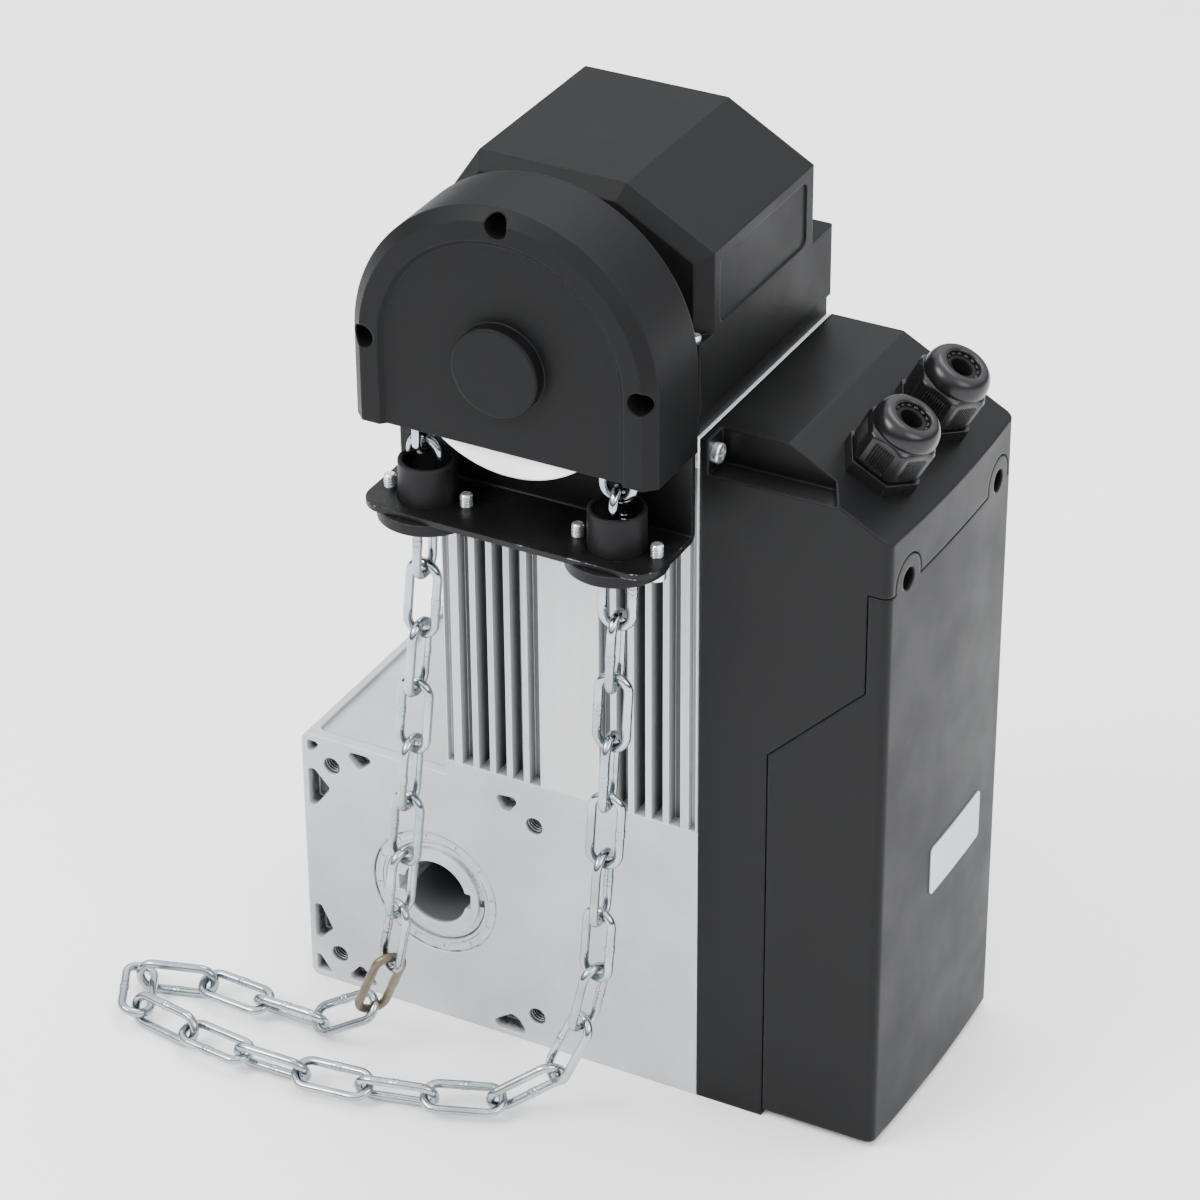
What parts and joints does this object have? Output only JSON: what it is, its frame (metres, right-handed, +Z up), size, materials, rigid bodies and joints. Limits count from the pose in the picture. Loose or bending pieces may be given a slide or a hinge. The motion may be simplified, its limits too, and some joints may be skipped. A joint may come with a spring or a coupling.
{
  "type": "industrial door operator",
  "caption": "Hollow-shaft worm gearmotor for a sectional door, with ribbed motor, hand-chain emergency drive and side control box with cable glands.",
  "frame": {"origin": "centre of the hollow shaft's bore on the front mounting face of the gear case", "axes": "+X from the shaft towards the control box, +Y into the machine along the shaft, +Z up along the motor"},
  "size_m": [0.2821, 0.1642, 0.3507],
  "materials": {
    "cast": "fine cast grain",
    "extrusion": "satin",
    "plate_alu": "machined",
    "steel": "machined",
    "zinc": "bright zinc",
    "tan_zinc": "yellow passivated",
    "bronze": "machined",
    "black_plastic": "fine grain",
    "gland_black": "semi-gloss",
    "white_plastic": "smooth",
    "black_sheet": "powder coat",
    "rubber": "matt",
    "copper": "lacquered wire",
    "laminate": "laminated",
    "friction": "rough",
    "board": "board green",
    "relay": "smooth",
    "terminal": "smooth",
    "plate_blank": "satin silver"
  },
  "bodies": {
    "frame": {"gearbox_housing": "cast", "rear_cover": "cast", "rear_cover_screws": "zinc", "output_bearings": "steel", "shaft_seals": "rubber", "motor_bearings": "steel", "motor_housing": "extrusion", "stator_core": "laminate", "stator_windings": "copper", "end_shield": "plate_alu", "motor_tie_bolts": "zinc", "brake_coil": "black_sheet", "brake_springs": "steel", "brake_plate": "steel", "brake_bolts": "zinc", "hand_shaft_bushes": "bronze", "clutch_housing": "cast", "chain_bracket": "black_sheet", "bracket_screws": "zinc", "left_chain_guide": "black_plastic", "right_chain_guide": "black_plastic", "guide_screws": "zinc", "chain_cover": "black_plastic", "chain_cover_screws": "zinc", "motor_hood": "black_plastic", "hood_screws": "zinc", "chain_over_wheel": "zinc", "chain_left_strand": "zinc", "chain_joining_link": "tan_zinc", "chain_floor_loop": "zinc", "chain_right_strand": "zinc", "control_box_base": "black_plastic", "control_box_cover": "black_plastic", "cover_gasket": "rubber", "box_cover_screws": "zinc", "box_mount_screws": "zinc", "cable_gland_bodies": "gland_black", "cable_gland_caps": "gland_black", "cable_gland_seals": "rubber", "circuit_board": "board", "relays": "relay", "terminal_block": "terminal", "rating_plate": "plate_blank"},
    "motor_rotor": {"worm_shaft": "steel", "motor_inner_rings": "steel", "rotor_core": "laminate", "brake_disc": "friction", "crown_gear": "steel"},
    "output": {"hollow_shaft": "steel", "worm_wheel": "bronze", "wheel_key": "steel", "output_inner_rings": "steel", "retaining_rings": "steel"},
    "hand_drive": {"hand_shaft": "steel", "bevel_pinion": "steel", "clutch_key": "steel", "wheel_clip": "steel"},
    "clutch": {"clutch_sleeve": "steel"},
    "pocket_wheel": {"chain_wheel": "white_plastic"},
    "armature": {"brake_armature": "steel"}
  },
  "joints": [
    {"name": "motor_spin", "type": "hinge", "parent": "frame", "child": "motor_rotor", "pos_m": [0.055, 0.0485, 0.1], "axis": [0, 0, 1], "continuous": true},
    {"name": "output_spin", "type": "hinge", "parent": "frame", "child": "output", "pos_m": [0, 0.0485, 0], "axis": [0, 1, 0], "continuous": true},
    {"name": "hand_shaft_spin", "type": "hinge", "parent": "frame", "child": "hand_drive", "pos_m": [0.055, 0, 0.2435], "axis": [0, 1, 0], "continuous": true},
    {"name": "clutch_engage", "type": "slide", "parent": "hand_drive", "child": "clutch", "axis": [0, -1, 0], "range_m": [0, 0.002]},
    {"name": "chain_wheel_spin", "type": "hinge", "parent": "frame", "child": "pocket_wheel", "pos_m": [0.055, -0.03, 0.2435], "axis": [0, 1, 0], "continuous": true},
    {"name": "brake_release", "type": "slide", "parent": "frame", "child": "armature", "axis": [0, 0, -1], "range_m": [0, 0.0004], "stiffness_N_per_m": 20000, "springref_m": -0.002, "deforming": ["brake_springs"]}
  ],
  "couplings": [
    {"joint": "output_spin", "follows": "motor_spin", "ratio": 0.025},
    {"joint": "hand_shaft_spin", "follows": "motor_spin", "ratio": 1}
  ]
}
